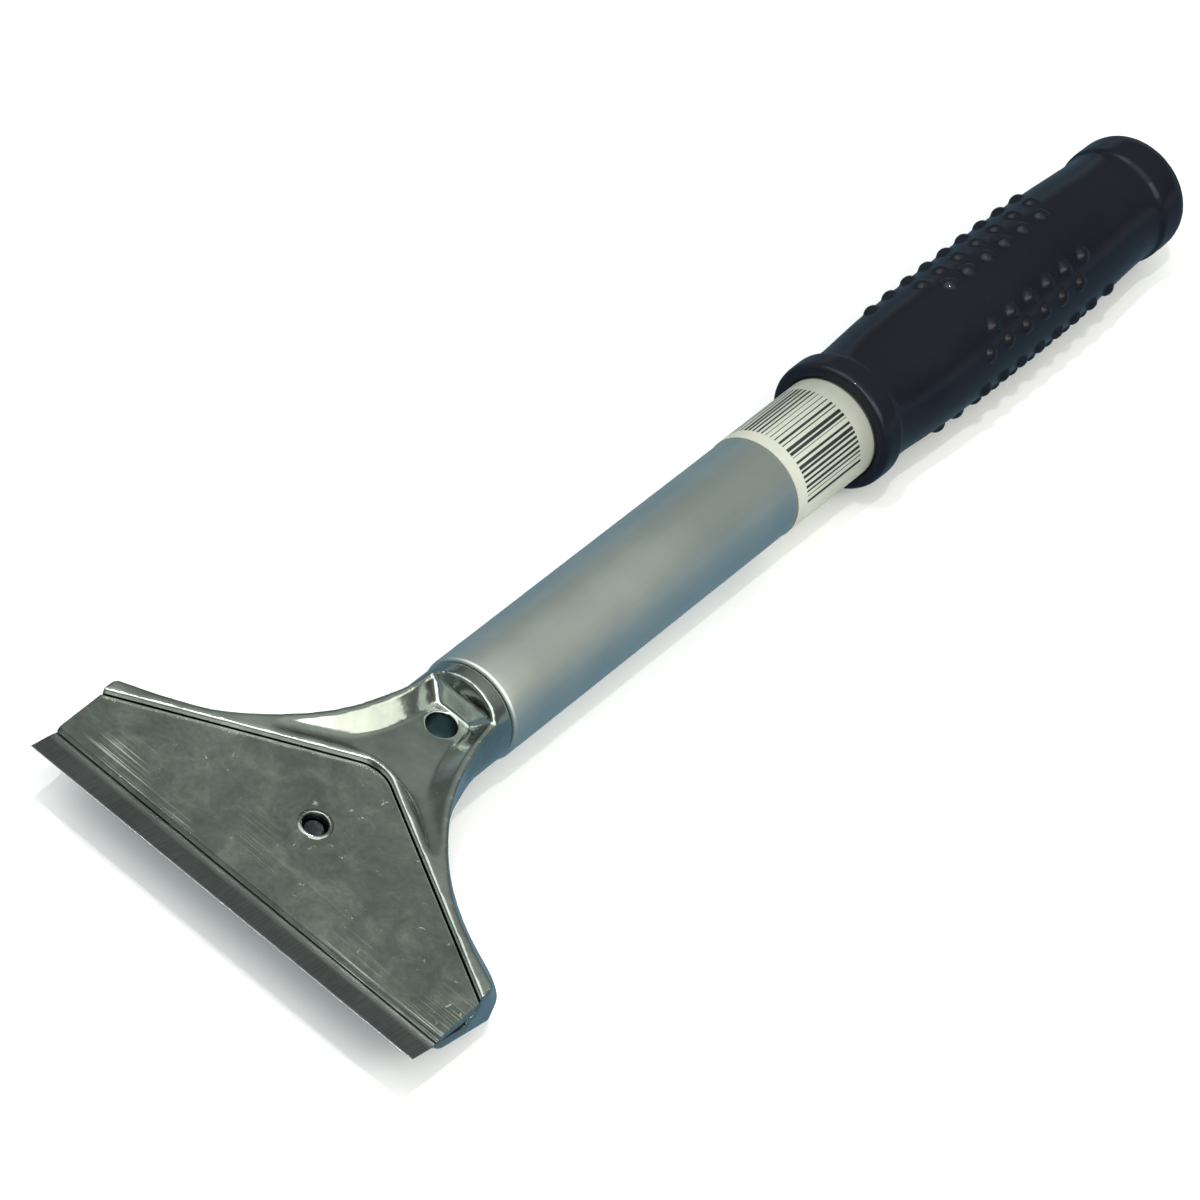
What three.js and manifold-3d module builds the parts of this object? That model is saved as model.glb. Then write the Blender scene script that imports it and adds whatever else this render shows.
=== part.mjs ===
// Algae scraper: a chromed die-cast head with a clamped 100 mm strip blade,
// on an anodised aluminium tube with a moulded rubber grip and a wrap-round label.
//
// Frame: millimetres, +Z up. The handle lies level along Y, with the blade edge at the -Y
// end, the clamp plate facing up and the blade edge parallel to X. The origin is under
// the middle of the object, at the level of its lowest point.
//
// The shapes are written in tool coordinates: x across, y back from the blade edge,
// and z up from the handle's axis. One outer group moves them into the frame.

import * as THREE from 'three';
import { mergeVertices } from 'three/addons/utils/BufferGeometryUtils.js';
import Module from 'manifold-3d';

const wasm = await Module();
wasm.setup();

// ---- driving dimensions ----

const GAP = 0.3; // between pieces that touch on the real object
const ROUND_SIDES = 48;
const SCREW_SIDES = 32;

const BLADE = { length: 100, width: 20, thickness: 0.6, bevel: 6, edgeLand: 0.08 };
const BLADE_EDGE_Z = 2.4;
const BLADE_TILT = THREE.MathUtils.degToRad(17.9); // falls away behind the edge

const TOP_TILT = Math.atan(0.063); // plate top and casting top rise gently to the rear
const PLATE = { halfWidth: 50, front: 9, corner: 21.2, slope: 0.59, apexRadius: 8 };
const PLATE_FRONT_Z = 1.46;
const PLATE_THICKNESS = 3.4;
const LIP = { lean: 0.5, land: 2.4 }; // front bevel, and the strip that bears on the blade
const RIM_STEP = 1.7; // the casting's rim stands this far above the plate
const RECESS_CLEARANCE = 0.3;

const HEAD = { halfWidth: 50.15, bottom: -11.5, shelfThickness: 2.3, sideLevel: -6 };
const NECK = { radius: 11.5, front: 52, wallTop: 76.6 };
const HANGING_HOLE = { y: 70.5, radius: 3.4 };
const POCKET_FLOOR_Z = 3.2;
const SPIGOT = { radius: 10.4, end: 114, chamfer: 1.5 };

const SCREW = { y: 29.75, thread: 2.45, clearanceHole: 2.9, head: 4.3, headHeight: 2.8 };
const SCREW_TIP_DEPTH = 1.4; // below the plate's top face
const SCREW_SLOT = { width: 1.2, depth: 1.3 };
const WEB_UNDERSIDE_Z = -4.2; // the screw's washer bears here
const WASHER = { outer: 4.8, inner: 2.75, thickness: 1 };
const COUNTERBORE_RADIUS = 5.3;

const TUBE = { front: 80.9, end: 326, outer: 12, inner: 10.75, edge: 0.6 };
const PIN = { y: 100, radius: 1.5, top: -4 };
const LABEL = { front: 181.2, end: 209.9, gap: 0.06, thickness: 0.12 };
const GRIP = { front: 210.2, end: 336.2, bore: 12.06, wallAtEnd: 9.6, flange: 15.4 };

const LOWEST = GRIP.flange; // below the handle's axis
const CENTRE_Y = GRIP.end / 2;

// ---- derived lines, in the (y, z) side view ----

const bladeZ = (y) => BLADE_EDGE_Z - Math.tan(BLADE_TILT) * y;
const shelfZ = (y) => bladeZ(y) - (BLADE.thickness / 2 + GAP) / Math.cos(BLADE_TILT);
const soleZ = (y) => shelfZ(y) - HEAD.shelfThickness / Math.cos(BLADE_TILT);
const plateZ = (y) => PLATE_FRONT_Z + Math.tan(TOP_TILT) * (y - PLATE.front);
const rimZ = (y) => plateZ(y) + RIM_STEP;
const plateUndersideZ = (y) => plateZ(y) - PLATE_THICKNESS;

// ---- helpers ----

const material = (color, roughness, metalness) =>
  new THREE.MeshStandardMaterial({ color, roughness, metalness });

function solid(geometry) {
  const bare = geometry.clone();
  bare.deleteAttribute('normal');
  bare.deleteAttribute('uv');
  const merged = mergeVertices(bare, 1e-4);
  return new wasm.Manifold(new wasm.Mesh({
    numProp: 3,
    vertProperties: new Float32Array(merged.attributes.position.array),
    triVerts: new Uint32Array(merged.index.array),
  }));
}

function geometryOf(manifold) {
  const mesh = manifold.getMesh();
  const geometry = new THREE.BufferGeometry();
  geometry.setAttribute('position', new THREE.BufferAttribute(mesh.vertProperties, 3));
  geometry.setIndex(new THREE.BufferAttribute(mesh.triVerts, 1));
  geometry.computeVertexNormals();
  return geometry;
}

// A closed outline of [x, y] points, standing from z0 to z1.
function planPrism(points, z0, z1) {
  const shape = new THREE.Shape(points.map(([x, y]) => new THREE.Vector2(x, y)));
  const geometry = new THREE.ExtrudeGeometry(shape, { depth: z1 - z0, bevelEnabled: false });
  return geometry.translate(0, 0, z0);
}

// A closed side view of [y, z] points, running across from -half to +half.
function sidePrism(points, half) {
  const shape = new THREE.Shape(points.map(([y, z]) => new THREE.Vector2(y, z)));
  const geometry = new THREE.ExtrudeGeometry(shape, { depth: 2 * half, bevelEnabled: false });
  geometry.translate(0, 0, -half);
  const axes = new THREE.Matrix4().makeBasis(
    new THREE.Vector3(0, 1, 0),
    new THREE.Vector3(0, 0, 1),
    new THREE.Vector3(1, 0, 0),
  );
  return geometry.applyMatrix4(axes);
}

// A turned piece about the handle's axis, from [radius, y] points.
function turned(points, sides = ROUND_SIDES) {
  return new THREE.LatheGeometry(points.map(([r, y]) => new THREE.Vector2(r, y)), sides);
}

// A turned piece about a line square to the plate, through y on the plate's top.
// Its [radius, height] points have height 0 at that top.
function turnedOnScrewLine(points) {
  const geometry = turned(points, SCREW_SIDES);
  geometry.rotateX(Math.PI / 2 + TOP_TILT);
  return geometry.translate(0, SCREW.y, plateZ(SCREW.y));
}

// A body through matched rings of Vector3, lowest first, each anticlockwise from above.
function loft(rings) {
  const count = rings[0].length;
  const positions = rings.flat().flatMap((point) => [point.x, point.y, point.z]);
  const index = [];
  for (let level = 0; level < rings.length - 1; level += 1) {
    for (let i = 0; i < count; i += 1) {
      const a = level * count + i;
      const b = level * count + ((i + 1) % count);
      index.push(a, b, b + count, a, b + count, a + count);
    }
  }
  const cap = (ring, offset, up) => {
    const flat = ring.map((point) => new THREE.Vector2(point.x, point.y));
    for (const [a, b, c] of THREE.ShapeUtils.triangulateShape(flat, [])) {
      const area = THREE.ShapeUtils.area([flat[a], flat[b], flat[c]]);
      index.push(...((area > 0) === up ? [a, b, c] : [a, c, b]).map((i) => i + offset));
    }
  };
  cap(rings[0], 0, false);
  cap(rings.at(-1), (rings.length - 1) * count, true);
  const geometry = new THREE.BufferGeometry();
  geometry.setAttribute('position', new THREE.Float32BufferAttribute(positions, 3));
  geometry.setIndex(index);
  return geometry;
}

// Smooth points through a half outline, then its mirror image, as one closed ring.
function mirroredRing(half, samples, zOf) {
  const curve = new THREE.SplineCurve(half.map(([x, y]) => new THREE.Vector2(x, y)));
  const right = curve.getPoints(samples);
  const left = right.map((point) => new THREE.Vector2(-point.x, point.y)).reverse();
  return [...right, ...left].map(({ x, y }) => new THREE.Vector3(x, y, zOf(y)));
}

// The plate's outline grown by a clearance: straight ends, two slanted sides, a round apex.
function plateOutline(clearance, front) {
  const slant = Math.atan(PLATE.slope);
  const side = PLATE.halfWidth + clearance;
  const radius = PLATE.apexRadius + clearance;
  const sharpApex = PLATE.corner + PLATE.slope * PLATE.halfWidth;
  const centre = sharpApex - PLATE.apexRadius / Math.cos(slant);
  const cornerY = centre + radius / Math.cos(slant) - PLATE.slope * side;
  const points = [[-side, front], [side, front], [side, cornerY]];
  const steps = 12;
  for (let i = 0; i <= steps; i += 1) {
    const angle = slant - (2 * slant * i) / steps;
    points.push([radius * Math.sin(angle), centre + radius * Math.cos(angle)]);
  }
  points.push([-side, cornerY]);
  return points;
}

// ---- head casting ----

// Half outlines of the head from the wing's front to the neck, at three levels.
// Its flanks lean outwards from the narrow top rim to the wider sole.
const FRONT_Y = 9.6;
const TOP_OUTLINE = [
  [49.6, 25.3], [47.2, 26.4], [41.2, 29.2], [32.6, 34.1], [26.8, 39.2], [22.6, 43.8],
  [18.6, 49], [15.6, 53.8], [13.2, 58.9], [11.3, 64.5], [10, 68.8], [9.2, 74], [8.8, 78],
];
const SIDE_OUTLINE = [
  [50, 29.6], [48.6, 32.4], [44.6, 35.4], [37.4, 38.7], [30.6, 42.2], [25, 46.2],
  [19.4, 52], [15.6, 56.9], [12.9, 62], [11.5, 66.5], [10.6, 70], [10, 74], [9.8, 78],
];
const SOLE_OUTLINE = [
  [48.6, 30.5], [46.4, 32.2], [42.4, 34.2], [35.4, 37.2], [28.4, 40.6], [22.6, 44.6],
  [16.8, 50.2], [12.6, 55], [9.4, 60], [7, 65], [5, 69.5], [3.6, 74], [3, 78],
];

function headRing(half, zOf) {
  const samples = 36;
  const ring = mirroredRing(half, samples, zOf);
  const corner = (sign, y) => new THREE.Vector3(sign * HEAD.halfWidth, y, zOf(y));
  const rear = half[0][1] - 1.2;
  return [corner(-1, rear), corner(-1, 0), corner(1, 0), corner(1, rear), ...ring];
}

// The hollow behind the plate: matched points at the rim and on its floor.
const POCKET_RIM = [
  [0, 51], [4.5, 50], [12, 45.7], [20.2, 40.9], [21.7, 41.3], [21, 43.6], [16.4, 50.2],
  [13.6, 55.2], [11.4, 60.2], [9.7, 65.3], [8.6, 70.5], [8, 74.6], [6.6, 76], [0, 76.3],
];
const POCKET_FLOOR = [
  [0, 52.3], [3.6, 51.8], [6.6, 51.3], [9, 51.5], [9.6, 52.1], [9.5, 53], [8.9, 54.6],
  [7.9, 56.8], [6.3, 61.2], [5.2, 66], [4.7, 70.2], [4.5, 73.2], [3.6, 74.4], [0, 74.7],
];

function pocketRing(half, zOf, endShift) {
  const samples = 60;
  const shifted = half.map(([x, y], i) => [x, i > half.length - 4 ? y + endShift : y]);
  const curve = new THREE.SplineCurve(shifted.map(([x, y]) => new THREE.Vector2(x, y)));
  const right = curve.getPoints(samples);
  const left = right.slice(1, -1).map(({ x, y }) => new THREE.Vector2(-x, y)).reverse();
  return [...right, ...left].map(({ x, y }) => new THREE.Vector3(x, y, zOf(y)));
}

function pocket() {
  const above = 14;
  const endWallLean = 0.8;
  return solid(loft([
    pocketRing(POCKET_FLOOR, () => POCKET_FLOOR_Z, 0),
    pocketRing(POCKET_RIM, (y) => rimZ(y), 0),
    pocketRing(POCKET_RIM, () => above, endWallLean),
  ]));
}

// Everything above the blade's shelf and the plate's ledge, inside the plate's outline.
function bladeAndPlateRecess() {
  const slotEnd = BLADE.width + GAP;
  const endY = slotEnd * Math.cos(BLADE_TILT);
  const lean = Math.sin(BLADE_TILT);
  const ledgeZ = (y) => plateUndersideZ(y) - GAP;
  const wallY = endY + (ledgeZ(endY) - shelfZ(endY)) * lean;
  const deep = 60;
  const high = 20;
  const profile = [
    [-5, shelfZ(-5)], [endY, shelfZ(endY)], [wallY, ledgeZ(wallY)],
    [deep, ledgeZ(deep)], [deep, high], [-5, high],
  ];
  const plan = solid(planPrism(plateOutline(RECESS_CLEARANCE, -5), -20, 20));
  return solid(sidePrism(profile, 60)).intersect(plan);
}

// Trims the wedge-shaped sole, parallel to the blade, and rounds off its front edge.
function underSole() {
  const heel = 36;
  const noseZ = bladeZ(FRONT_Y) - 1.6;
  return solid(sidePrism([
    [-5, noseZ + 1.4], [FRONT_Y - 1.2, noseZ + 0.8], [FRONT_Y + 0.4, noseZ - 0.9],
    [FRONT_Y + 2.2, soleZ(FRONT_Y + 2.2)], [heel, soleZ(heel)], [heel, -30], [-5, -30],
  ], 60));
}

function frontTrim() {
  const nose = FRONT_Y - 1.6;
  return solid(sidePrism([[-5, 20], [-5, -20], [nose, -20], [nose, 20]], 60));
}

function headCasting() {
  const level = (z) => () => z;
  const body = solid(loft([
    headRing(SOLE_OUTLINE, level(HEAD.bottom)),
    headRing(SIDE_OUTLINE, level(HEAD.sideLevel)),
    headRing(TOP_OUTLINE, rimZ),
  ]));
  const shoulder = TUBE.front - GAP;
  const neck = solid(turned([
    [0, NECK.front], [NECK.radius, NECK.front], [NECK.radius, shoulder], [SPIGOT.radius, shoulder],
    [SPIGOT.radius, SPIGOT.end - SPIGOT.chamfer], [SPIGOT.radius - SPIGOT.chamfer, SPIGOT.end],
    [0, SPIGOT.end],
  ]));
  const aboveNeck = solid(sidePrism([
    [40, rimZ(40)], [NECK.wallTop - 1, rimZ(NECK.wallTop)], [NECK.wallTop, 14], [40, 14],
  ], 20));
  const hole = solid(new THREE.CylinderGeometry(
    HANGING_HOLE.radius, HANGING_HOLE.radius, 40, SCREW_SIDES,
  ).rotateX(Math.PI / 2).translate(0, HANGING_HOLE.y, 0));
  const shankHole = solid(turnedOnScrewLine([
    [0, -30], [SCREW.clearanceHole, -30], [SCREW.clearanceHole, 10], [0, 10],
  ]));
  const ceiling = WEB_UNDERSIDE_Z - plateZ(SCREW.y);
  const counterbore = solid(turnedOnScrewLine([
    [0, -40], [COUNTERBORE_RADIUS, -40], [COUNTERBORE_RADIUS, ceiling], [0, ceiling],
  ]));
  const pinHole = solid(pinShape(PIN.radius + GAP, PIN.top + GAP, -20));
  return body
    .add(neck.subtract(aboveNeck))
    .subtract(bladeAndPlateRecess())
    .subtract(frontTrim())
    .subtract(underSole())
    .subtract(pocket())
    .subtract(hole)
    .subtract(shankHole)
    .subtract(counterbore)
    .subtract(pinHole);
}

// ---- clamp plate, blade, screw and washer ----

function clampPlate() {
  const front = PLATE.front;
  const lipZ = bladeZ(front - LIP.lean) + (BLADE.thickness / 2 + GAP) / Math.cos(BLADE_TILT);
  const landEnd = front + LIP.land;
  const landZ = lipZ - Math.tan(BLADE_TILT) * (landEnd - front + LIP.lean);
  const far = 60;
  const profile = [
    [front - LIP.lean, lipZ], [landEnd, landZ], [PLATE.corner, plateUndersideZ(PLATE.corner)],
    [far, plateUndersideZ(far)], [far, plateZ(far)], [front, plateZ(front)],
  ];
  const outline = solid(planPrism(plateOutline(0, -5), -20, 20));
  const threadedHole = solid(turnedOnScrewLine([
    [0, -10], [SCREW.thread + GAP, -10], [SCREW.thread + GAP, 10], [0, 10],
  ]));
  return solid(sidePrism(profile, 60)).intersect(outline).subtract(threadedHole);
}

// The blade lies flat on its lower face; its upper face is ground to the edge.
function blade() {
  const half = BLADE.thickness / 2;
  const profile = [
    [0, -half], [BLADE.width, -half], [BLADE.width, half], [BLADE.bevel, half],
    [0, -half + BLADE.edgeLand],
  ];
  const geometry = sidePrism(profile, BLADE.length / 2);
  geometry.rotateX(-BLADE_TILT);
  return geometry.translate(0, half * Math.sin(BLADE_TILT), BLADE_EDGE_Z);
}

function screwHeights() {
  const ceiling = WEB_UNDERSIDE_Z - plateZ(SCREW.y);
  const washerTop = ceiling - GAP;
  const washerBottom = washerTop - WASHER.thickness;
  const headTop = washerBottom - GAP;
  return { washerTop, washerBottom, headTop, headBottom: headTop - SCREW.headHeight };
}

function clampScrew() {
  const { headTop, headBottom } = screwHeights();
  const crown = 0.5;
  const turnedScrew = solid(turnedOnScrewLine([
    [0, headBottom], [SCREW.head - crown, headBottom], [SCREW.head, headBottom + crown],
    [SCREW.head, headTop], [SCREW.thread, headTop], [SCREW.thread, -SCREW_TIP_DEPTH - crown],
    [SCREW.thread - crown, -SCREW_TIP_DEPTH], [0, -SCREW_TIP_DEPTH],
  ]));
  const slot = new THREE.BoxGeometry(3 * SCREW.head, SCREW_SLOT.width, 2 * SCREW_SLOT.depth);
  slot.translate(0, 0, headBottom).rotateX(TOP_TILT).translate(0, SCREW.y, plateZ(SCREW.y));
  return turnedScrew.subtract(solid(slot));
}

function screwWasher() {
  const { washerTop, washerBottom } = screwHeights();
  return turnedOnScrewLine([
    [WASHER.inner, washerBottom], [WASHER.outer, washerBottom], [WASHER.outer, washerTop],
    [WASHER.inner, washerTop], [WASHER.inner, washerBottom],
  ]);
}

// ---- handle ----

function pinShape(radius, top, bottom) {
  const length = top - bottom;
  const geometry = new THREE.CylinderGeometry(radius, radius, length, 16);
  return geometry.rotateX(Math.PI / 2).translate(0, PIN.y, (top + bottom) / 2);
}

function handleTube() {
  const { front, end, outer, inner, edge } = TUBE;
  const wall = solid(turned([
    [inner, front], [outer - edge, front], [outer - edge * 0.3, front + edge * 0.3],
    [outer, front + edge], [outer, end], [inner, end], [inner, front],
  ]));
  return wall.subtract(solid(pinShape(PIN.radius + GAP, -5, -20)));
}

function spigotPin() {
  return pinShape(PIN.radius, PIN.top, -TUBE.outer + 0.1);
}

function label() {
  const inner = TUBE.outer + LABEL.gap;
  const outer = inner + LABEL.thickness;
  return turned([
    [inner, LABEL.front], [outer, LABEL.front], [outer, LABEL.end], [inner, LABEL.end],
    [inner, LABEL.front],
  ]);
}

// The grip's outside, from its front flange to its domed end, as [radius, distance].
const GRIP_PROFILE = [
  [12.5, 0], [14.5, 0.2], [15.2, 1], [GRIP.flange, 2.6], [GRIP.flange, 5.4], [15, 6.6],
  [14.3, 7.6], [14.1, 10], [14.1, 14], [14.4, 19], [14.9, 26], [15.2, 36], [15.3, 52],
  [15.3, 70], [15.1, 84], [14.7, 96], [14.2, 105], [13.9, 111], [13.9, 114], [14.3, 115.4],
  [14.6, 117], [14.6, 121], [14.2, 123.6], [13.2, 125.2], [11.6, 125.8], [8, 126], [0, 126],
];

function handleGrip() {
  const boreEnd = GRIP.end - GRIP.wallAtEnd;
  const outside = GRIP_PROFILE.map(([r, y]) => [r, y + GRIP.front]);
  return turned([[0, boreEnd], [GRIP.bore, boreEnd], [GRIP.bore, GRIP.front], ...outside]);
}

// ---- assembly ----

const CHROME = material(0x9aa39c, 0.12, 1);
const STEEL = material(0x4c5052, 0.35, 1);
const ZINC = material(0x8d9294, 0.3, 1);
const ANODISED = material(0xa9b3ae, 0.32, 1);
const RUBBER = material(0x17161c, 0.5, 0);
const PAPER = material(0xe6e2d2, 0.8, 0);

function part(name, shape, look) {
  const geometry = shape instanceof THREE.BufferGeometry ? shape : geometryOf(shape);
  const mesh = new THREE.Mesh(geometry, look);
  mesh.name = name;
  return mesh;
}

const group = new THREE.Group();
const tool = new THREE.Group();
tool.position.set(0, -CENTRE_Y, LOWEST);
tool.add(
  part('head_casting', headCasting(), CHROME),
  part('clamp_plate', clampPlate(), CHROME),
  part('blade', blade(), STEEL),
  part('clamp_screw', clampScrew(), ZINC),
  part('screw_washer', screwWasher(), ZINC),
  part('handle_tube', handleTube(), ANODISED),
  part('spigot_pin', spigotPin(), ZINC),
  part('label', label(), PAPER),
  part('handle_grip', handleGrip(), RUBBER),
);
group.add(tool);

export default group;
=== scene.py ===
"""Looks for the algae scraper: a chromed head and clamp plate, a strip blade, an anodised tube,
a wrap-round label and a studded grip.

Row frame, metres. X runs along the blade, +Y from the blade edge back along the handle, and +Z
out of the side with the plate.
"""

import math

import bmesh
import bpy
from mathutils import Matrix, Vector

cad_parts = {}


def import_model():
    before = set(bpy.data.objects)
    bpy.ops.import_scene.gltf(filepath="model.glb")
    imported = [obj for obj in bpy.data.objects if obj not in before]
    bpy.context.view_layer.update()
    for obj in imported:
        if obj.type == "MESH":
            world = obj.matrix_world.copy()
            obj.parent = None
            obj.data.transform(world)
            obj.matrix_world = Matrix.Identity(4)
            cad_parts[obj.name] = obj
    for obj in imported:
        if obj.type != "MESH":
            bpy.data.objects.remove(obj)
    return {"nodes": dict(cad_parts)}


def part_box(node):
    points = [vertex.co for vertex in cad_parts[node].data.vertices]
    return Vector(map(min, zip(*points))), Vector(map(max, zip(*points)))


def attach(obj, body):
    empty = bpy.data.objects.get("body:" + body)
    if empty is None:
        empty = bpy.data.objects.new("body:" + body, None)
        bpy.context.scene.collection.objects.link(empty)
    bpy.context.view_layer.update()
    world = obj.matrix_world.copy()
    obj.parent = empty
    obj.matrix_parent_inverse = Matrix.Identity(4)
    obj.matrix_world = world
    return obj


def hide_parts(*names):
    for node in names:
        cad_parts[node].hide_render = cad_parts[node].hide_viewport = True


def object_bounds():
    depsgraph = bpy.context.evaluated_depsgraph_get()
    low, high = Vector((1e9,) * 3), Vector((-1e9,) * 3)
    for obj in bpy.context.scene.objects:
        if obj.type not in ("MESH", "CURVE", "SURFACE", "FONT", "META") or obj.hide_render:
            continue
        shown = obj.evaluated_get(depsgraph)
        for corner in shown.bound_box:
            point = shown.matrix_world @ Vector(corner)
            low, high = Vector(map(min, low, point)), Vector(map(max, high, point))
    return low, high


MM = 0.001

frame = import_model()
cad_low, cad_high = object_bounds()

# The handle's axis, and the blade edge at the front, from the CAD solids.
TUBE_LOW, TUBE_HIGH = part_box("handle_tube")
AXIS_Z = (TUBE_LOW.z + TUBE_HIGH.z) / 2
EDGE_Y = cad_low.y
GRIP_LOW, GRIP_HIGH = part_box("handle_grip")
LABEL_LOW, LABEL_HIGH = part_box("label")
PLATE_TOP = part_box("clamp_plate")[1]

# Dimensions that those boxes don't give, as the CAD has them.
TUBE_BORE = 10.75 * MM
PLATE_SLOPE = 0.063  # the plate's rise per unit of length towards the rear
SCREW_Y = EDGE_Y + 29.75 * MM

# ---- materials ----


class Nodes:
    """Adds and links shader nodes in one new material."""

    def __init__(self, name):
        self.material = bpy.data.materials.new(name)
        self.material.use_nodes = True
        self.tree = self.material.node_tree
        self.shader = self.tree.nodes["Principled BSDF"]
        self.coordinates = self.tree.nodes.new("ShaderNodeTexCoord").outputs["Object"]

    def add(self, kind, inputs=None, **settings):
        node = self.tree.nodes.new(kind)
        for key, value in settings.items():
            setattr(node, key, value)
        for key, value in (inputs or {}).items():
            self.put(value, node.inputs[key])
        return node

    def put(self, value, socket):
        if isinstance(value, bpy.types.NodeSocket):
            self.tree.links.new(value, socket)
        else:
            socket.default_value = value

    def math(self, operation, a, b=0.0, c=0.0):
        node = self.add("ShaderNodeMath", operation=operation)
        for value, socket in zip((a, b, c), node.inputs):
            self.put(value, socket)
        return node.outputs[0]

    def along(self, axis):
        split = self.add("ShaderNodeSeparateXYZ", {"Vector": self.coordinates})
        return split.outputs[axis]

    def stretched(self, scale):
        mapping = self.add("ShaderNodeMapping", {"Vector": self.coordinates, "Scale": scale})
        return mapping.outputs[0]

    def noise(self, scale, detail=3.0, roughness=0.5, distortion=0.0, vector=None):
        node = self.add(
            "ShaderNodeTexNoise",
            {
                "Vector": vector or self.coordinates,
                "Scale": scale,
                "Detail": detail,
                "Roughness": roughness,
                "Distortion": distortion,
            },
        )
        return node.outputs["Fac"]

    def ramp(self, value, stops):
        node = self.add("ShaderNodeValToRGB", {"Fac": value})
        elements = node.color_ramp.elements
        while len(elements) < len(stops):
            elements.new(0.5)
        for element, (position, colour) in zip(elements, stops):
            element.position = position
            element.color = (*colour, 1)
        return node.outputs["Color"]

    def between(self, value, low, high, out_low=0.0, out_high=1.0):
        node = self.add(
            "ShaderNodeMapRange",
            {
                "Value": value,
                "From Min": low,
                "From Max": high,
                "To Min": out_low,
                "To Max": out_high,
            },
        )
        return node.outputs["Result"]

    def mix(self, factor, a, b):
        node = self.add("ShaderNodeMix", data_type="RGBA")
        self.put(factor, node.inputs["Factor"])
        for value, socket in ((a, node.inputs[6]), (b, node.inputs[7])):
            self.put((*value, 1) if isinstance(value, tuple) else value, socket)
        return node.outputs[2]

    def bump(self, heights):
        """Chains bumps, each (height socket, strength, distance in metres)."""
        normal = None
        for height, strength, distance in heights:
            values = {"Height": height, "Strength": strength, "Distance": distance}
            node = self.add("ShaderNodeBump", values)
            if normal is not None:
                self.put(normal, node.inputs["Normal"])
            normal = node.outputs["Normal"]
        self.put(normal, self.shader.inputs["Normal"])

    def set(self, **values):
        names = {
            "colour": "Base Color",
            "metallic": "Metallic",
            "roughness": "Roughness",
            "specular": "Specular IOR Level",
            "coat": "Coat Weight",
            "coat_roughness": "Coat Roughness",
        }
        for key, value in values.items():
            value = (*value, 1) if isinstance(value, tuple) else value
            self.put(value, self.shader.inputs[names[key]])


def cast_chrome():
    n = Nodes("chrome_cast")
    cloud = n.noise(55, 4, 0.6)
    fine = n.noise(900, 3, 0.6)
    spots = n.noise(420, 2, 0.5)
    colour = n.ramp(
        cloud,
        [
            (0.3, (0.28, 0.312, 0.285)),
            (0.62, (0.43, 0.464, 0.428)),
            (0.85, (0.33, 0.362, 0.33)),
        ],
    )
    pits = n.between(spots, 0.68, 0.76)
    colour = n.mix(n.math("MULTIPLY", pits, 0.35), colour, (0.28, 0.29, 0.27))
    polish = n.between(cloud, 0.3, 0.75, 0.11, 0.23)
    roughness = n.math("ADD", polish, n.math("MULTIPLY", pits, 0.2))
    n.set(colour=colour, metallic=1.0, roughness=roughness)
    n.bump([(n.noise(130, 3, 0.55), 0.4, 0.3 * MM), (fine, 0.18, 0.03 * MM)])
    return n.material


def plate_chrome():
    """Mottled, grained chrome, with rubbed scratches near the lip and a few bright flecks."""
    n = Nodes("chrome_plate")
    blotch = n.noise(130, 6, 0.68, 0.6)
    haze = n.noise(30, 4, 0.6)
    grain = n.noise(780, 3, 0.6)
    scratch = n.noise(1.0, 4, 0.7, vector=n.stretched((28, 2600, 600)))
    y = n.along("Y")
    near_lip = n.between(y, EDGE_Y + 11 * MM, EDGE_Y + 24 * MM, 1.0, 0.0)
    patchy = n.between(n.noise(34, 2, 0.5), 0.5, 0.62)
    worn = n.math("MULTIPLY", near_lip, patchy)
    rubbed = n.math("MULTIPLY", n.between(scratch, 0.53, 0.64), worn)
    flecks = n.between(n.noise(260, 4, 0.75, 1.5), 0.66, 0.7)
    marks = n.math("MAXIMUM", rubbed, n.math("MULTIPLY", flecks, 0.7))
    colour = n.ramp(
        blotch,
        [
            (0.3, (0.15, 0.175, 0.155)),
            (0.48, (0.205, 0.232, 0.208)),
            (0.66, (0.29, 0.322, 0.29)),
        ],
    )
    colour = n.mix(n.between(haze, 0.42, 0.68, 0.0, 0.42), colour, (0.34, 0.375, 0.34))
    colour = n.mix(n.between(grain, 0.45, 0.75, 0.0, 0.4), colour, (0.13, 0.152, 0.135))
    colour = n.mix(n.math("MULTIPLY", marks, 0.8), colour, (0.85, 0.88, 0.82))
    polish = n.between(blotch, 0.3, 0.75, 0.17, 0.32)
    roughness = n.math("ADD", polish, n.math("MULTIPLY", marks, 0.25))
    n.set(colour=colour, metallic=1.0, roughness=roughness)
    n.bump(
        [
            (blotch, 0.2, 0.1 * MM),
            (grain, 0.2, 0.02 * MM),
            (n.math("MULTIPLY", scratch, near_lip), 0.35, 0.015 * MM),
        ]
    )
    return n.material


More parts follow.
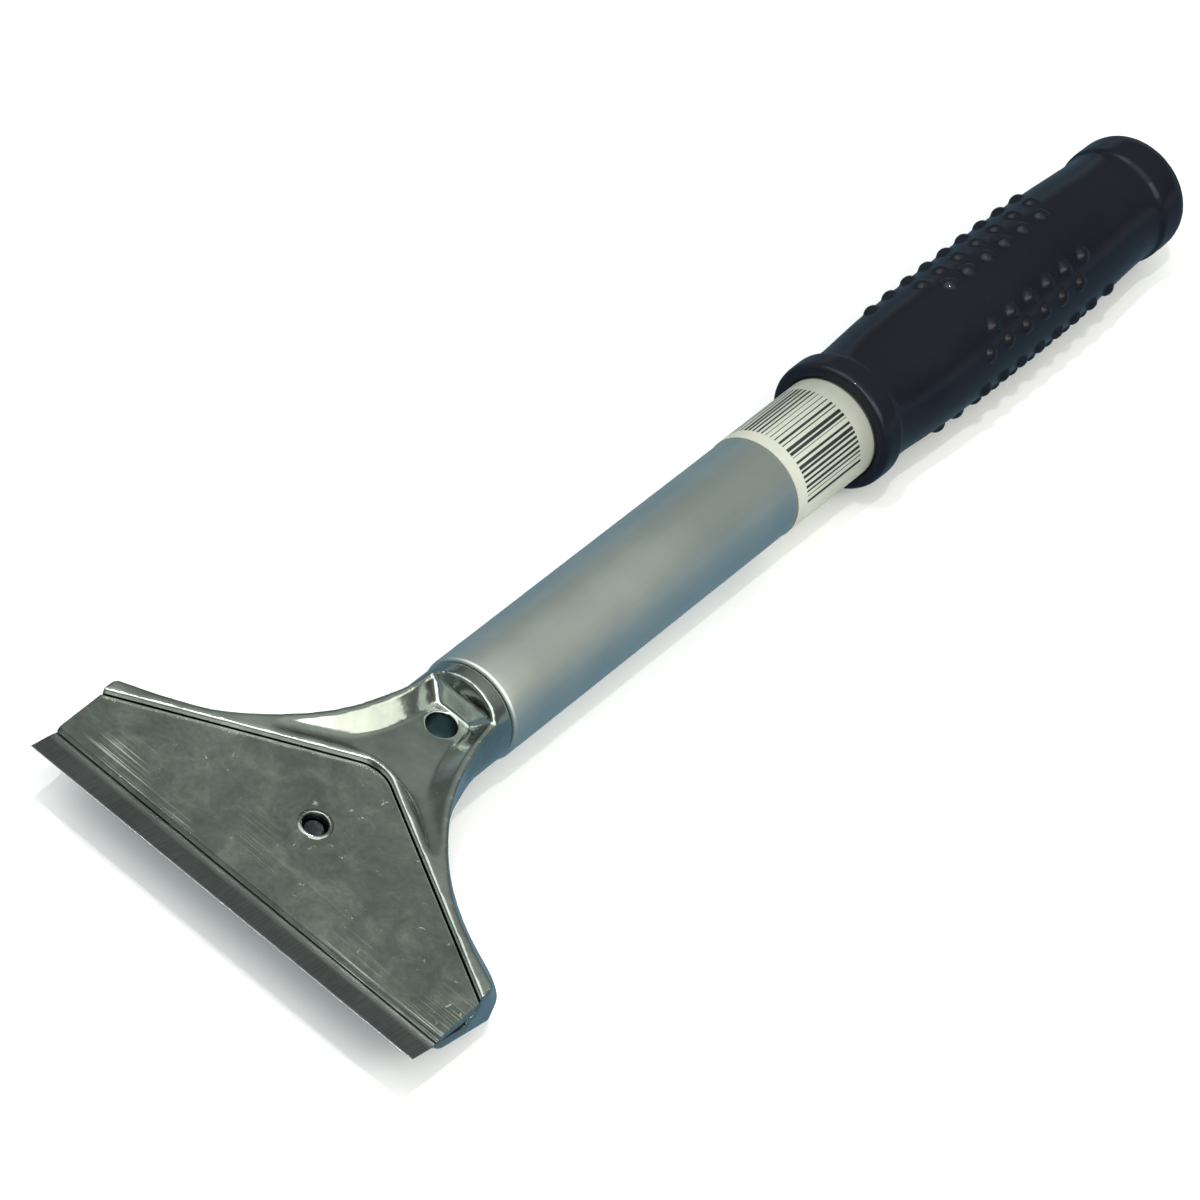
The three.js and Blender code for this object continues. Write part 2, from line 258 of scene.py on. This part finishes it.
def blade_steel():
    """Dark rolled steel, ground across at the front and bright at the very edge."""
    n = Nodes("blade_steel")
    y = n.along("Y")
    ground = n.between(y, EDGE_Y + 5.4 * MM, EDGE_Y + 6.1 * MM, 1.0, 0.0)
    edge = n.between(y, EDGE_Y + 0.1 * MM, EDGE_Y + 0.6 * MM, 1.0, 0.0)
    grind = n.noise(1.0, 3, 0.65, vector=n.stretched((2400, 60, 300)))
    rolled = n.noise(1.0, 3, 0.6, vector=n.stretched((40, 1500, 300)))
    stain = n.noise(60, 4, 0.6)
    body = n.ramp(rolled, [(0.3, (0.22, 0.23, 0.23)), (0.7, (0.32, 0.33, 0.32))])
    bevel = n.ramp(grind, [(0.3, (0.14, 0.145, 0.145)), (0.7, (0.22, 0.225, 0.22))])
    colour = n.mix(ground, body, bevel)
    colour = n.mix(n.math("MULTIPLY", edge, 0.6), colour, (0.7, 0.7, 0.68))
    colour = n.mix(n.between(stain, 0.55, 0.75, 0.0, 0.3), colour, (0.16, 0.155, 0.14))
    n.set(colour=colour, metallic=1.0, roughness=n.between(stain, 0.3, 0.7, 0.3, 0.46))
    n.bump([(grind, 0.25, 0.01 * MM), (rolled, 0.15, 0.008 * MM)])
    return n.material


def zinc():
    n = Nodes("zinc_plate")
    cloud = n.noise(260, 3, 0.6)
    turning = n.noise(1400, 2, 0.6)
    n.set(
        colour=n.ramp(cloud, [(0.3, (0.45, 0.47, 0.47)), (0.7, (0.66, 0.68, 0.66))]),
        metallic=1.0,
        roughness=n.between(cloud, 0.3, 0.7, 0.2, 0.36),
    )
    n.bump([(turning, 0.2, 0.02 * MM)])
    return n.material


def blackened():
    """The screw's dark, oiled steel, with a little bare metal showing."""
    n = Nodes("blackened_steel")
    cloud = n.noise(420, 3, 0.6)
    bare = n.between(n.noise(900, 3, 0.65), 0.6, 0.72, 0.0, 0.35)
    colour = n.ramp(cloud, [(0.3, (0.045, 0.045, 0.06)), (0.7, (0.1, 0.1, 0.12))])
    n.set(colour=n.mix(bare, colour, (0.34, 0.35, 0.36)), metallic=1.0)
    n.set(roughness=n.between(cloud, 0.3, 0.7, 0.22, 0.4))
    n.bump([(n.noise(1100, 2, 0.6), 0.3, 0.03 * MM)])
    return n.material


def anodised():
    """Satin anodised tube, with faint lines drawn along it."""
    n = Nodes("anodised_aluminium")
    drawn = n.noise(1.0, 4, 0.6, vector=n.stretched((1400, 9, 1400)))
    cloud = n.noise(28, 4, 0.6)
    speck = n.noise(1300, 2, 0.6)
    colour = n.ramp(cloud, [(0.3, (0.56, 0.6, 0.57)), (0.7, (0.63, 0.67, 0.63))])
    colour = n.mix(n.between(drawn, 0.3, 0.7, 0.0, 0.18), colour, (0.46, 0.5, 0.48))
    scuff = n.between(n.noise(160, 5, 0.8, 2.0), 0.72, 0.76)
    colour = n.mix(n.math("MULTIPLY", scuff, 0.4), colour, (0.82, 0.84, 0.8))
    n.set(colour=colour, metallic=1.0, roughness=n.between(cloud, 0.3, 0.7, 0.4, 0.48))
    n.bump([(drawn, 0.12, 0.01 * MM), (speck, 0.2, 0.012 * MM)])
    return n.material


def grip_rubber():
    n = Nodes("grip_rubber")
    cloud = n.noise(45, 4, 0.6)
    grain = n.noise(1500, 3, 0.6)
    lint = n.between(n.noise(700, 2, 0.7, 1.0), 0.75, 0.79)
    colour = n.ramp(cloud, [(0.3, (0.0026, 0.0024, 0.0062)), (0.7, (0.0048, 0.0044, 0.0105))])
    colour = n.mix(n.math("MULTIPLY", lint, 0.12), colour, (0.12, 0.12, 0.14))
    n.set(colour=colour, roughness=n.between(cloud, 0.3, 0.7, 0.42, 0.52), specular=0.15)
    n.set(coat=0.3, coat_roughness=0.035)
    n.bump([(grain, 0.18, 0.02 * MM), (n.noise(260, 2, 0.5), 0.15, 0.05 * MM)])
    return n.material


def label_print():
    """Cream paper with plain bars along the tube. Their widths are random, with no digits."""
    n = Nodes("label_print")
    x, y, z = (n.along(axis) for axis in "XYZ")
    angle = n.math("ARCTAN2", x, n.math("SUBTRACT", z, AXIS_Z))
    bars_per_radian = 10.5
    turns = n.math("MULTIPLY", angle, bars_per_radian)
    noise = n.add("ShaderNodeTexWhiteNoise", {"W": n.math("FLOOR", turns)}, noise_dimensions="1D")
    width = n.math("MULTIPLY_ADD", noise.outputs["Value"], 0.62, 0.14)
    inked = n.math("LESS_THAN", n.math("FRACT", turns), width)
    middle_angle, half_arc = 0.13, 1.17
    arc = n.math("COMPARE", angle, middle_angle, half_arc)
    start, end = LABEL_LOW.y + 3.4 * MM, LABEL_LOW.y + 23.5 * MM
    length = n.math("COMPARE", y, (start + end) / 2, (end - start) / 2)
    ink = n.math("MULTIPLY", inked, n.math("MULTIPLY", arc, length))
    middle, half = (LABEL_LOW.y + LABEL_HIGH.y) / 2, (LABEL_HIGH.y - LABEL_LOW.y) / 2
    from_middle = n.math("ABSOLUTE", n.math("SUBTRACT", y, middle))
    rim = n.math("GREATER_THAN", from_middle, half - 0.16 * MM)
    cloud = n.noise(70, 4, 0.6)
    fibre = n.noise(1600, 3, 0.7)
    paper = n.ramp(cloud, [(0.3, (0.4, 0.41, 0.35)), (0.7, (0.47, 0.475, 0.41))])
    fading = n.between(n.noise(900, 2, 0.6), 0.35, 0.65, 0.0, 0.3)
    faded = n.mix(fading, (0.012, 0.013, 0.014), (0.035, 0.037, 0.037))
    colour = n.mix(ink, paper, faded)
    colour = n.mix(n.math("MULTIPLY", rim, 0.55), colour, (0.2, 0.2, 0.17))
    n.set(colour=colour, roughness=n.between(cloud, 0.3, 0.7, 0.42, 0.6), specular=0.35)
    n.bump([(fibre, 0.15, 0.01 * MM), (cloud, 0.2, 0.05 * MM)])
    return n.material


CAST, PLATE, STEEL, ZINC = cast_chrome(), plate_chrome(), blade_steel(), zinc()
TUBE, RUBBER, LABEL, BLACK = anodised(), grip_rubber(), label_print(), blackened()

# ---- mesh helpers ----


def new_object(name, mesh, material, smooth=True):
    piece = bpy.data.objects.new(name, mesh)
    bpy.context.scene.collection.objects.link(piece)
    mesh.materials.clear()
    mesh.materials.append(material)
    for polygon in mesh.polygons:
        polygon.use_smooth = smooth
    return piece


def mesh_of(bm, name):
    mesh = bpy.data.meshes.new(name)
    bm.to_mesh(mesh)
    bm.free()
    return mesh


def cad_bmesh(node):
    """A copy of a CAD node with its coincident points welded."""
    bm = bmesh.new()
    bm.from_mesh(frame["nodes"][node].data)
    bmesh.ops.remove_doubles(bm, verts=bm.verts, dist=0.002 * MM)
    return bm


def applied(piece):
    """Replaces the piece's mesh by what its modifiers make of it."""
    bpy.context.view_layer.update()
    graph = bpy.context.evaluated_depsgraph_get()
    mesh = bpy.data.meshes.new_from_object(piece.evaluated_get(graph), depsgraph=graph)
    piece.modifiers.clear()
    piece.data = mesh
    return piece


def place(piece, body, slot, *nodes):
    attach(piece, body)
    if nodes:
        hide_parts(*nodes)
    return piece


def revolve(name, profile, segments, material, radius_at=None, closed=False):
    """A turned skin about the handle's axis from (radius, y) points.

    radius_at(r, y, angle) may add relief. A closed profile joins its last point to its first.
    """
    bm = bmesh.new()
    rings = []
    for r, y in profile:
        if r < 1e-9:
            rings.append([bm.verts.new((0, y, AXIS_Z))])
            continue
        ring = []
        for i in range(segments):
            angle = 2 * math.pi * i / segments
            radius = radius_at(r, y, angle) if radius_at else r
            point = (radius * math.sin(angle), y, AXIS_Z + radius * math.cos(angle))
            ring.append(bm.verts.new(point))
        rings.append(ring)
    pairs = list(zip(rings, rings[1:]))
    if closed:
        pairs.append((rings[-1], rings[0]))
    for a, b in pairs:
        for i in range(segments):
            j = (i + 1) % segments
            corners = [a[i % len(a)], a[j % len(a)], b[j % len(b)], b[i % len(b)]]
            unique = list(dict.fromkeys(corners))
            if len(unique) > 2:
                bm.faces.new(unique)
    bmesh.ops.recalc_face_normals(bm, faces=bm.faces)
    return new_object(name, mesh_of(bm, name), material)


def smooth_curve(points, step):
    """Catmull-Rom points through (radius, y) knots, at most step apart."""
    out = []
    knots = [points[0], *points, points[-1]]
    for p0, p1, p2, p3 in zip(knots, knots[1:], knots[2:], knots[3:]):
        length = math.dist(p1, p2)
        count = max(1, math.ceil(length / step))
        for i in range(count):
            t = i / count
            out.append(
                tuple(
                    0.5
                    * (
                        2 * b
                        + (c - a) * t
                        + (2 * a - 5 * b + 4 * c - d) * t * t
                        + (3 * b - a - 3 * c + d) * t**3
                    )
                    for a, b, c, d in zip(p0, p1, p2, p3)
                )
            )
    out.append(points[-1])
    return out


# ---- head casting ----


def head():
    """The casting, with its edges rounded over by a fine remesh and smoothing."""
    piece = new_object("head_shell", mesh_of(cad_bmesh("head_casting"), "head"), CAST)
    remesh = piece.modifiers.new("remesh", "REMESH")
    remesh.mode = "VOXEL"
    remesh.voxel_size = 0.32 * MM
    applied(piece)
    soften = piece.modifiers.new("soften", "SMOOTH")
    soften.factor = 0.5
    soften.iterations = 8
    applied(piece)
    for polygon in piece.data.polygons:
        polygon.use_smooth = True
    piece.data.materials.clear()
    piece.data.materials.append(CAST)
    return place(piece, "handle", "chrome", "head_casting")


# ---- clamp plate ----


def bevelled_copy(name, node, material, width, segments=3, angle=28):
    """A CAD node with clean flat faces, and edges sharper than the angle rounded off."""
    bm = cad_bmesh(node)
    flat = math.radians(1.0)
    bmesh.ops.dissolve_limit(bm, angle_limit=flat, verts=bm.verts, edges=bm.edges)
    piece = new_object(name, mesh_of(bm, name), material, smooth=False)
    bevel = piece.modifiers.new("bevel", "BEVEL")
    bevel.width = width
    bevel.segments = segments
    bevel.limit_method = "ANGLE"
    bevel.angle_limit = math.radians(angle)
    bevel.harden_normals = True
    applied(piece)
    return piece


def plate():
    piece = bevelled_copy("clamp_plate_chromed", "clamp_plate", PLATE, 0.22 * MM)
    return place(piece, "plate", "chrome", "clamp_plate")


# The rim's section: (distance from the screw's line, height above the plate), in mm.
RIM_SECTION = [
    (2.75, -0.8), (2.75, 0.05), (2.87, 0.28), (3.1, 0.4),
    (3.36, 0.33), (3.66, 0.1), (3.9, -0.08), (3.9, -0.3),
]


def hole_rim():
    """The rolled rim that stands round the plate's screw hole, square to the plate."""
    segments = 96
    bm = bmesh.new()
    rings = []
    for i in range(segments):
        angle = 2 * math.pi * i / segments
        across, along = math.cos(angle) * MM, math.sin(angle) * MM
        rings.append([bm.verts.new((r * across, r * along, z * MM)) for r, z in RIM_SECTION])
    for a, b in zip(rings, rings[1:] + rings[:1]):
        for k in range(len(RIM_SECTION)):
            j = (k + 1) % len(RIM_SECTION)
            bm.faces.new((a[k], b[k], b[j], a[j]))
    bmesh.ops.recalc_face_normals(bm, faces=bm.faces)
    z = PLATE_TOP.z - PLATE_SLOPE * (PLATE_TOP.y - SCREW_Y)
    tilt = Matrix.Rotation(math.atan(PLATE_SLOPE), 4, "X")
    bm.transform(Matrix.Translation((0, SCREW_Y, z)) @ tilt)
    piece = new_object("screw_hole_rim", mesh_of(bm, "hole_rim"), PLATE)
    return place(piece, "plate", "chrome")


def strip_blade():
    piece = bevelled_copy("strip_blade_steel", "blade", STEEL, 0.05 * MM, 2, 25)
    return place(piece, "strip_blade", "blade_steel", "blade")


# ---- handle ----


def tube():
    r = (TUBE_HIGH.x - TUBE_LOW.x) / 2
    front, end = TUBE_LOW.y, TUBE_HIGH.y
    lip = 0.75 * MM
    profile = [(TUBE_BORE, front + lip * 0.4), (TUBE_BORE + 0.2 * MM, front)]
    steps = 8
    for i in range(steps + 1):
        turn = math.pi / 2 * i / steps
        profile.append((r - lip + lip * math.sin(turn), front + lip - lip * math.cos(turn)))
    profile += [(r, front + 3 * MM), (r, end - 0.3 * MM), (r - 0.3 * MM, end), (TUBE_BORE, end)]
    piece = revolve("tube_skin", profile, 192, TUBE, closed=True)
    return place(piece, "handle", "anodised_tube", "handle_tube")


# The grip's outside as (radius, distance from its front), in mm.
GRIP_KNOTS = [
    (12.1, 0.7), (12.5, 0.12), (13.6, 0), (14.6, 0.2), (15.15, 0.7), (15.35, 1.6), (15.4, 3),
    (15.4, 5.2), (15.25, 6.1), (14.8, 6.8), (14.3, 7.4), (14.1, 8.6), (14.05, 12), (14.2, 16),
    (14.6, 22), (15, 30), (15.25, 40), (15.3, 52), (15.3, 70), (15.1, 84), (14.7, 96),
    (14.2, 105), (13.9, 111), (13.87, 113.6), (14.05, 114.6), (14.45, 115.3), (14.6, 116.4),
    (14.6, 120.8), (14.45, 122.6), (13.9, 124.3), (12.9, 125.4), (11.4, 125.85), (9, 126),
]
STUD = {"radius": 2.05, "height": 1.1, "pitch": 7.35}
# Rows of studs: the angle from the top towards +X in degrees, the first stud's distance from
# the grip's front, and the count.
STUD_ROWS = [
    (-58, 29.5, 9), (-34, 41.2, 7), (-14, 44.8, 6), (38, 45.6, 6), (58, 41.8, 6), (96, 41.8, 8),
    (122, 29.5, 9), (146, 41.2, 7), (166, 44.8, 6), (218, 45.6, 6), (238, 41.8, 6), (264, 41.8, 8),
]


def stud_centres():
    return [
        (math.radians(angle), start + i * STUD["pitch"])
        for angle, start, count in STUD_ROWS
        for i in range(count)
    ]


def grip():
    """The sleeve, with its studs raised from the skin as parts of spheres."""
    front = GRIP_LOW.y
    centres = stud_centres()
    sphere = (STUD["radius"] ** 2 + STUD["height"] ** 2) / (2 * STUD["height"])

    def with_studs(r, y, angle):
        along = (y - front) / MM
        radius = r / MM
        best = 0.0
        for centre, at in centres:
            dy = along - at
            if abs(dy) > STUD["radius"]:
                continue
            da = (angle - centre + math.pi) % (2 * math.pi) - math.pi
            d2 = dy * dy + (da * radius) ** 2
            if d2 < STUD["radius"] ** 2:
                best = max(best, math.sqrt(sphere**2 - d2) - (sphere - STUD["height"]))
        return (radius + best) * MM

    knots = [(r * MM, front + y * MM) for r, y in GRIP_KNOTS]
    outside = smooth_curve(knots, 0.42 * MM)
    inner = [(12.1 * MM, front + 6 * MM)]
    hole = 1.5 * MM
    end = GRIP_HIGH.y
    closing = [
        (6 * MM, end),
        (hole + 0.4 * MM, end),
        (hole, end - 0.4 * MM),
        (hole, end - 4 * MM),
        (0, end - 4 * MM),
    ]
    piece = revolve("grip_sleeve", inner + outside + closing, 256, RUBBER, with_studs)
    return place(piece, "handle", "grip_rubber", "handle_grip")


def label():
    front, end = LABEL_LOW.y, LABEL_HIGH.y
    inner, outer = 12.03 * MM, (LABEL_HIGH.x - LABEL_LOW.x) / 2
    soft = 0.04 * MM
    profile = [
        (inner, front),
        (outer - soft, front),
        (outer, front + soft),
        (outer, end - soft),
        (outer - soft, end),
        (inner, end),
    ]
    piece = revolve("label_wrap", profile, 192, LABEL, closed=True)
    return place(piece, "handle", "label_paper", "label")


head()
plate()
hole_rim()
strip_blade()
tube()
grip()
label()
for node, finish in (("clamp_screw", BLACK), ("screw_washer", ZINC), ("spigot_pin", ZINC)):
    small = frame["nodes"][node]
    small.data.materials.clear()
    small.data.materials.append(finish)

# ---- stage, light and camera ----


def floor():
    mesh = bpy.data.meshes.new("floor")
    reach = 6.0
    z = -0.6 * MM
    corners = [(-reach, -reach, z), (reach, -reach, z), (reach, reach, z), (-reach, reach, z)]
    mesh.from_pydata(corners, [], [(0, 1, 2, 3)])
    n = Nodes("floor")
    pale = n.ramp(n.noise(9, 3, 0.5), [(0.3, (0.93, 0.93, 0.93)), (0.7, (0.96, 0.96, 0.955))])
    n.set(colour=pale, roughness=0.9, specular=0.1)
    # Polished metal mirrors the floor as a dusky blue surround, not as glaring white. That blue is
    # a painted reflection: the floor glows, though it is no lamp, but only in glossy rays.
    blue_glow_for_reflections = n.add("ShaderNodeEmission", {"Color": (0.2, 0.33, 0.43, 1), "Strength": 0.8})
    ray = n.add("ShaderNodeLightPath").outputs["Is Glossy Ray"]
    shaders = {0: ray, 1: n.shader.outputs[0], 2: blue_glow_for_reflections.outputs[0]}
    mixed = n.add("ShaderNodeMixShader", shaders).outputs[0]
    n.put(mixed, n.tree.nodes["Material Output"].inputs["Surface"])
    new_object("floor", mesh, n.material)


# Name, place, aim, size (metres), power (watts) and colour.
LIGHTS = [
    ("key", (0.8, -0.95, 1.2), (0, 0, 0), (1.5, 1.5), 21, (1.0, 0.99, 0.96)),
    ("fill", (-1.0, -0.7, 1.5), (0, 0, 0), (1.8, 1.8), 18, (0.97, 0.99, 1.0)),
    ("side_panel", (0.72, 0.05, 0.82), (0, -0.11, 0.02), (0.62, 0.5), 2.2, (1.0, 0.97, 0.86)),
    ("spark_left", (-0.15, -0.5, 1.3), (0, 0.1, 0.02), (0.035, 0.035), 3.5, (1, 1, 1)),
    ("spark_right", (0.1, -0.42, 1.3), (0, 0.1, 0.02), (0.035, 0.035), 3.5, (1, 1, 1)),
]


def area_light(name, place_at, aim, size, power, colour):
    data = bpy.data.lights.new(name, "AREA")
    data.shape = "RECTANGLE"
    data.size, data.size_y = size
    data.energy = power
    data.color = colour
    lamp = bpy.data.objects.new(name, data)
    bpy.context.scene.collection.objects.link(lamp)
    lamp.location = place_at
    lamp.rotation_euler = (Vector(aim) - Vector(place_at)).to_track_quat("-Z", "Y").to_euler()


# The sky's colour from the horizon (0) to straight up (1).
SKY = [
    (0.0, (0.2, 0.33, 0.44)),
    (0.12, (0.42, 0.5, 0.53)),
    (0.3, (0.12, 0.135, 0.135)),
    (0.52, (0.27, 0.3, 0.28)),
    (0.75, (0.36, 0.395, 0.365)),
    (0.95, (0.75, 0.78, 0.74)),
]


def world():
    """The camera sees a plain pale backdrop. The object is lit by, and mirrors, a graded sky."""
    scene_world = bpy.data.worlds.new("studio")
    bpy.context.scene.world = scene_world
    scene_world.use_nodes = True
    nodes, links = scene_world.node_tree.nodes, scene_world.node_tree.links
    where = nodes.new("ShaderNodeTexCoord")
    split = nodes.new("ShaderNodeSeparateXYZ")
    links.new(where.outputs["Generated"], split.inputs[0])
    ramp = nodes.new("ShaderNodeValToRGB")
    links.new(split.outputs["Z"], ramp.inputs["Fac"])
    elements = ramp.color_ramp.elements
    while len(elements) < len(SKY):
        elements.new(0.5)
    for element, (position, colour) in zip(elements, SKY):
        element.position = position
        element.color = (*colour, 1)
    backdrop = nodes.new("ShaderNodeMix")
    backdrop.data_type = "RGBA"
    ray = nodes.new("ShaderNodeLightPath")
    links.new(ray.outputs["Is Camera Ray"], backdrop.inputs["Factor"])
    links.new(ramp.outputs["Color"], backdrop.inputs[6])
    backdrop.inputs[7].default_value = (0.8, 0.81, 0.8, 1)
    links.new(backdrop.outputs[2], nodes["Background"].inputs["Color"])


# Where the camera stands, and its right-hand and backward directions.
CAMERA_AT = (0.32116, -0.85189, 0.88272)
CAMERA_RIGHT = (0.7585, 0.5922, 0.2720)
CAMERA_BACK = (0.2620, -0.6593, 0.7047)


def camera():
    data = bpy.data.cameras.new("camera")
    data.lens = 176.7
    data.sensor_width = 36.0
    data.clip_start, data.clip_end = 0.05, 30.0
    piece = bpy.data.objects.new("camera", data)
    bpy.context.scene.collection.objects.link(piece)
    right = Vector(CAMERA_RIGHT).normalized()
    back = Vector(CAMERA_BACK).normalized()
    up = back.cross(right).normalized()
    right = up.cross(back)
    turn = Matrix((right, up, back)).transposed().to_4x4()
    piece.matrix_world = Matrix.Translation(CAMERA_AT) @ turn
    bpy.context.scene.camera = piece


floor()
world()
for light in LIGHTS:
    area_light(*light)
camera()
bpy.context.scene.view_settings.view_transform = "Standard"
